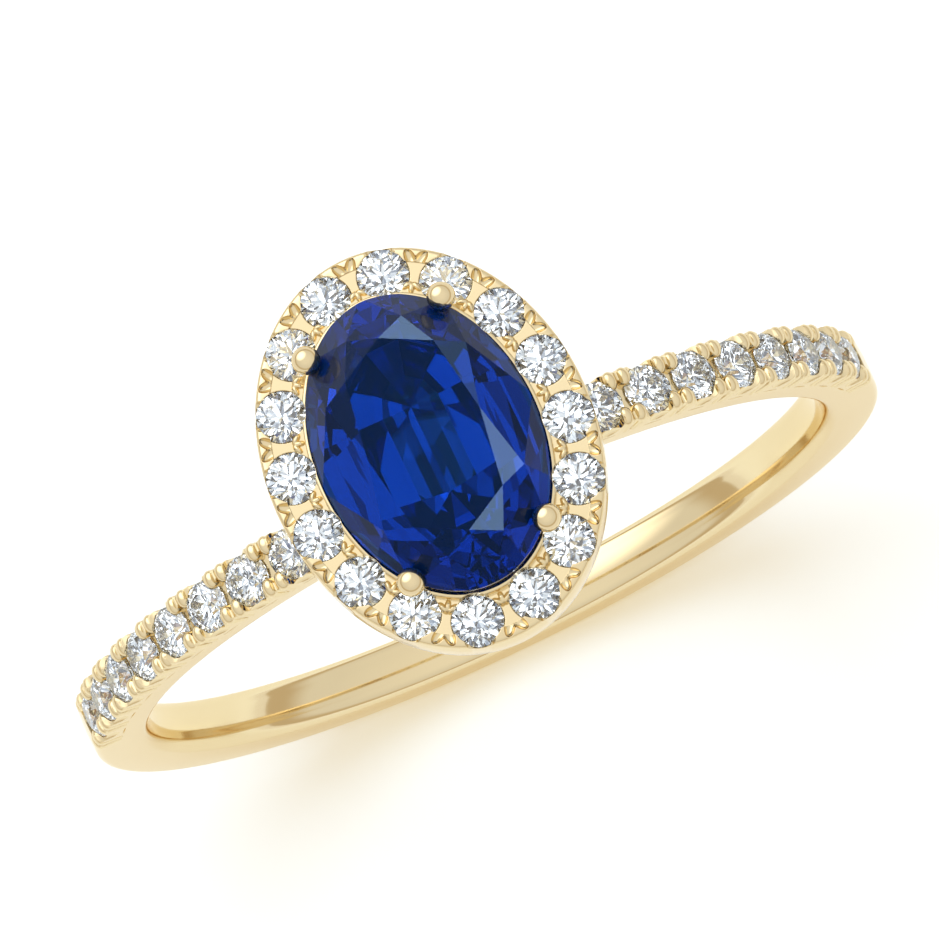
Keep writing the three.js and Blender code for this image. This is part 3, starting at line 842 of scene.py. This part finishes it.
def sapphire_material():
    """Deep blue all through, with painted reflections: a weaker one on the table and a brighter one
    on the star facets of one side.
    """
    gem = cut_stone("blue_sapphire", (0.018, 0.10, 0.36, 1), (0.012, 0.08, 0.30, 1), 1.77)
    tree = gem.node_tree
    nodes, links = tree.nodes, tree.links
    shader = nodes["Principled BSDF"]
    shader.inputs["Transmission Weight"].default_value = 0.93
    tilt = nodes.new("ShaderNodeSeparateXYZ")
    links.new(nodes["Texture Coordinate"].outputs["Normal"], tilt.inputs[0])
    # Painted reflection: each facet's reflection strength is set by which way it faces, and is
    # weakest on the table.
    painted_reflection_by_tilt = nodes.new("ShaderNodeValToRGB")
    painted_reflection_by_tilt.color_ramp.interpolation = "CONSTANT"
    painted_reflection_by_tilt.color_ramp.elements[0].color = (0.05, 0.06, 0.09, 1)
    painted_reflection_by_tilt.color_ramp.elements[1].position = 0.97
    painted_reflection_by_tilt.color_ramp.elements[1].color = (0.04, 0.04, 0.045, 1)
    links.new(tilt.outputs["Z"], painted_reflection_by_tilt.inputs["Fac"])
    # Painted highlight: the star facets of one side, which lean by about 25 degrees, get a
    # brighter, bluer reflection than the other facets.
    star = nodes.new("ShaderNodeMath")
    star.operation = "COMPARE"
    star.inputs[1].default_value = 0.905
    star.inputs[2].default_value = 0.03
    links.new(tilt.outputs["Z"], star.inputs[0])
    right_side = calculated(tree, "GREATER_THAN", tilt.outputs["X"], 0.1)
    painted_glint_facets = calculated(tree, "MULTIPLY", star.outputs[0], right_side)
    painted_facet_reflection = blend(tree, painted_glint_facets, painted_reflection_by_tilt.outputs["Color"], (0.40, 0.64, 1.0, 1))
    links.new(painted_facet_reflection, shader.inputs["Specular Tint"])
    inside = nodes.new("ShaderNodeVolumeAbsorption")
    inside.inputs["Color"].default_value = (0.04, 0.50, 0.83, 1)
    inside.inputs["Density"].default_value = 500
    links.new(inside.outputs["Volume"], nodes["Material Output"].inputs["Volume"])
    return gem


sapphire.data.materials.append(sapphire_material())
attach(sapphire, "root")
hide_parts("center_sapphire")

# ---- claws ----
# Four round gold wires, soldered to the base and the rail. Each ends in a ball that is
# pushed over the sapphire's girdle, and is notched where the stone rests in it.

CLAW_WIRE = 0.25
CLAW_BALL = 0.325
# Where each wire's middle starts on the base, passes the halo and ends in the ball.
CLAW_FOOT = (0.604, 0.965, 10.375)
CLAW_PASS = (1.355, 2.415, 12.92)
CLAW_TIP = (1.65, 2.76, 13.97)
CLAW_CORNERS = {
    "claw_back_right": (1, 1),
    "claw_back_left": (-1, 1),
    "claw_front_left": (-1, -1),
    "claw_front_right": (1, -1),
}


def claw_piece(name, side_x, side_y):
    """A bent wire with a ball on its end and the stone's notch in it."""
    points = [Vector((side_x * x, side_y * y, z)) for x, y, z in (CLAW_FOOT, CLAW_PASS, CLAW_TIP)]
    line = bpy.data.curves.new(name, "CURVE")
    line.dimensions = "3D"
    line.bevel_depth = CLAW_WIRE
    line.bevel_resolution = 10
    line.resolution_u = 24
    line.use_fill_caps = True
    spline = line.splines.new("BEZIER")
    spline.bezier_points.add(2)
    for bend, point in zip(spline.bezier_points, points):
        bend.co = point
        bend.handle_left_type = bend.handle_right_type = "AUTO"
    wire = bpy.data.objects.new(name, line)
    bpy.context.scene.collection.objects.link(wire)
    pick(wire)
    bpy.ops.object.convert(target="MESH")
    wire = bpy.context.active_object
    close_mesh(wire)
    bpy.ops.object.select_all(action="DESELECT")
    bpy.ops.mesh.primitive_uv_sphere_add(
        segments=48, ring_count=32, radius=CLAW_BALL, location=points[2]
    )
    carve(wire, [new_piece("claw_ball")], "UNION")
    notch = notch_master.copy()
    notch.data = notch_master.data.copy()
    bpy.context.scene.collection.objects.link(notch)
    carve(wire, [notch])
    close_mesh(wire, 1e-5)
    lay_in_frame(wire)
    return wire


for node_name, (side_x, side_y) in CLAW_CORNERS.items():
    claw = claw_piece("gold_" + node_name, side_x, side_y)
    claw.data.materials.append(GOLD)
    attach(claw, "root")
    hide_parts(node_name)
bpy.data.objects.remove(notch_master)

# ---- small diamonds ----
# Round brilliants of 57 facets: sixteen of 1.18 mm round the sapphire and eight of the same
# on each shoulder, held by the beads and tabs pushed over their edges.

DIAMOND = cut_stone("white_diamond", (0.90, 0.96, 1.0, 1), (0.86, 0.93, 1.0, 1), 2.417)
for node_name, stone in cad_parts.items():
    if "_diamond_" in node_name:
        stone.data.materials.clear()
        stone.data.materials.append(DIAMOND)

# ---- table top ----
# A sheet of white paper that the ring stands on. It reads as white where nothing shades it. Near
# the ring a warm glow is painted into it, so that its shadows look warm as if lit by the gold, and
# far from the ring it is plain white.

FLOOR_Z = -0.01007
WHITE_FROM, WHITE_TO = 0.022, 0.060

bpy.ops.object.select_all(action="DESELECT")
bpy.ops.mesh.primitive_plane_add(size=4, location=(0, 0, FLOOR_Z))
bpy.ops.object.transform_apply(location=True, rotation=False, scale=False)
floor = new_piece("floor")
paper = bpy.data.materials.new("white_paper")
paper.use_nodes = True
tree = paper.node_tree
nodes, links = tree.nodes, tree.links
nodes.clear()
# What lights the ring from below is plain pale paper.
plain = nodes.new("ShaderNodeBsdfDiffuse")
plain.inputs["Color"].default_value = (0.80, 0.80, 0.80, 1)
cool = nodes.new("ShaderNodeBsdfDiffuse")
cool.inputs["Color"].default_value = (0.53, 0.73, 0.97, 1)
# Painted light: a warm glow, seen only by the camera and in reflections, stands in for light thrown
# off the gold and warms the shadows near the ring. The cool paper under it adds up with it to white
# where nothing shades the paper.
painted_warm_glow = nodes.new("ShaderNodeEmission")
painted_warm_glow.inputs["Color"].default_value = (0.56, 0.38, 0.13, 1)
near = nodes.new("ShaderNodeAddShader")
links.new(cool.outputs[0], near.inputs[0])
links.new(painted_warm_glow.outputs[0], near.inputs[1])
white = nodes.new("ShaderNodeEmission")
white.inputs["Color"].default_value = (1, 1, 1, 1)
where = nodes.new("ShaderNodeTexCoord")
distance = nodes.new("ShaderNodeVectorMath")
distance.operation = "LENGTH"
links.new(where.outputs["Object"], distance.inputs[0])
path = nodes.new("ShaderNodeLightPath")
camera_or_gloss = calculated(
    tree, "ADD", path.outputs["Is Camera Ray"], path.outputs["Is Glossy Ray"]
)
seen = calculated(tree, "ADD", camera_or_gloss, path.outputs["Is Transmission Ray"])
seen.node.use_clamp = True
far = nodes.new("ShaderNodeMixShader")
links.new(soft_step(tree, distance.outputs["Value"], WHITE_FROM, WHITE_TO), far.inputs["Fac"])
links.new(near.outputs[0], far.inputs[1])
links.new(white.outputs[0], far.inputs[2])
swap = nodes.new("ShaderNodeMixShader")
links.new(seen, swap.inputs["Fac"])
links.new(plain.outputs[0], swap.inputs[1])
links.new(far.outputs[0], swap.inputs[2])
out = nodes.new("ShaderNodeOutputMaterial")
links.new(swap.outputs[0], out.inputs["Surface"])
floor.data.materials.append(paper)

# ---- room ----
# A white studio: evenly bright above, with a soft window behind the ring and warm walls low
# down that the metal shows as its darker bands. The stones show dark and bright cards.

WINDOW = (-0.30, 0.69, 0.66)
DAYLIGHT = (-0.10, 0.91, 0.40)
WALLS = (0.66, 0.56, 0.42, 1)
CARDS = (
    (0.475, (0.18, 0.23, 0.32, 1)),
    (0.505, (0.33, 0.39, 0.49, 1)),
    (0.535, (0.80, 0.86, 0.92, 1)),
    (0.585, (0.95, 0.98, 1.0, 1)),
)


def towards(tree, looking, direction):
    """How nearly a ray looks in a direction, from -1 to 1."""
    dot = tree.nodes.new("ShaderNodeVectorMath")
    dot.operation = "DOT_PRODUCT"
    dot.inputs[1].default_value = direction
    tree.links.new(looking, dot.inputs[0])
    return dot.outputs["Value"]


def two_stops(tree, value, first, last):
    """A colour ramp between two stops, each a position and a colour."""
    ramp = tree.nodes.new("ShaderNodeValToRGB")
    for stop, (position, colour) in zip(ramp.color_ramp.elements, (first, last)):
        stop.position = position
        stop.color = colour
    tree.links.new(value, ramp.inputs["Fac"])
    return ramp


world = bpy.data.worlds.new("studio")
bpy.context.scene.world = world
world.use_nodes = True
tree = world.node_tree
nodes, links = tree.nodes, tree.links
path = nodes.new("ShaderNodeLightPath")
looking = nodes.new("ShaderNodeTexCoord").outputs["Generated"]
split = nodes.new("ShaderNodeSeparateXYZ")
links.new(looking, split.inputs[0])
up_share = split.outputs["Z"]
evenly = two_stops(tree, up_share, (0.45, (0.88, 0.88, 0.88, 1)), (0.95, (1.02, 1.02, 1.02, 1)))
window = soft_step(tree, towards(tree, looking, WINDOW), 0.72, 0.98, 0, 1.3)
above = blend(tree, 1, evenly.outputs["Color"], window, "ADD")
# Cards for the stones: patches of dark and bright overhead.
patches = nodes.new("ShaderNodeTexNoise")
patches.inputs["Scale"].default_value = 3.4
patches.inputs["Detail"].default_value = 1
links.new(looking, patches.inputs["Vector"])
cards = two_stops(
    tree, patches.outputs["Fac"], (0.455, (0.012, 0.018, 0.03, 1)), (0.60, (2.4, 2.4, 2.4, 1))
)
for position, colour in CARDS:
    cards.color_ramp.elements.new(position).color = colour
overhead = calculated(tree, "GREATER_THAN", up_share, 0.30)
through = calculated(tree, "MULTIPLY", path.outputs["Is Transmission Ray"], overhead)
room = blend(tree, through, above, cards.outputs["Color"])
# Warm walls, for the metal only.
low = soft_step(tree, up_share, 0.12, 0.32, 1, 0)
on_metal = calculated(tree, "MULTIPLY", low, path.outputs["Is Glossy Ray"])
room = blend(tree, on_metal, room, WALLS)
# The table is lit from the back more than from the front, so that the shadow lies close
# along the front of the band.
daylight = soft_step(tree, towards(tree, looking, DAYLIGHT), -0.15, 0.90, 0.15, 0.56)
room = blend(tree, path.outputs["Is Diffuse Ray"], room, daylight)
# Seen straight on, the room behind the ring is plain white paper.
room = blend(tree, path.outputs["Is Camera Ray"], room, (1, 1, 1, 1))
links.new(room, nodes["Background"].inputs["Color"])

# ---- lamps ----
# A large softbox overhead lays the shadow on the table. Three small cards light only the
# facets of the centre stone.

RING_HEAD = Vector((0, 0, 0.0136))
KEY_SIZE, KEY_POWER = 0.30, 0.82
CARD_SIZE, CARD_POWER = 0.11, 0.085
STONE_CARDS = {
    "right_card": (0.205, -0.010, 0.171),
    "far_right_card": (0.082, 0.204, 0.153),
    "near_right_card": (0.096, -0.123, 0.222),
}


def softbox(name, size, place, power, colour):
    """A square soft light that points at the ring's head."""
    lamp = bpy.data.lights.new(name, "AREA")
    lamp.shape = "RECTANGLE"
    lamp.size = lamp.size_y = size
    lamp.energy = power
    lamp.color = colour
    holder = bpy.data.objects.new(name, lamp)
    bpy.context.scene.collection.objects.link(holder)
    holder.location = place
    holder.rotation_euler = (RING_HEAD - Vector(place)).to_track_quat("-Z", "Y").to_euler()
    return holder


key = softbox("overhead_key", KEY_SIZE, (-0.02, 0.055, 0.27), KEY_POWER, (1, 1, 1))
key.visible_glossy = key.visible_transmission = False
lit_by_cards = bpy.data.collections.new("lit_by_cards")
lit_by_cards.objects.link(sapphire)
for card_name, place in STONE_CARDS.items():
    card = softbox(card_name, CARD_SIZE, place, CARD_POWER, (0.97, 0.97, 1))
    card.visible_diffuse = False
    card.light_linking.receiver_collection = lit_by_cards

# ---- camera ----
# A long lens above the front of the ring, rolled so that the band runs up to the right.

CAMERA_ELEVATION = math.radians(78.204)
CAMERA_AZIMUTH = math.radians(-1.268)
CAMERA_ROLL = math.radians(-24.234)
CAMERA_DISTANCE = 0.240
CAMERA_OFFSET = (-0.0002061, 0.0019198)

back = Vector((
    math.sin(CAMERA_AZIMUTH) * math.cos(CAMERA_ELEVATION),
    -math.cos(CAMERA_AZIMUTH) * math.cos(CAMERA_ELEVATION),
    math.sin(CAMERA_ELEVATION),
))
level = Vector((math.cos(CAMERA_AZIMUTH), math.sin(CAMERA_AZIMUTH), 0))
upright = back.cross(level)
right = level * math.cos(CAMERA_ROLL) + upright * math.sin(CAMERA_ROLL)
up = -level * math.sin(CAMERA_ROLL) + upright * math.cos(CAMERA_ROLL)
lens = bpy.data.cameras.new("camera")
lens.lens = 394.08
lens.sensor_width = 36
lens.clip_start = 0.001
camera = bpy.data.objects.new("camera", lens)
bpy.context.scene.collection.objects.link(camera)
turn = Matrix((right, up, back)).transposed().to_4x4()
place = right * CAMERA_OFFSET[0] + up * CAMERA_OFFSET[1] + back * CAMERA_DISTANCE
camera.matrix_world = Matrix.Translation(place) @ turn
bpy.context.scene.camera = camera
bpy.context.scene.view_settings.view_transform = "Standard"
bpy.context.scene.cycles.max_bounces = 24
bpy.context.scene.cycles.glossy_bounces = 16
bpy.context.scene.cycles.transmission_bounces = 20
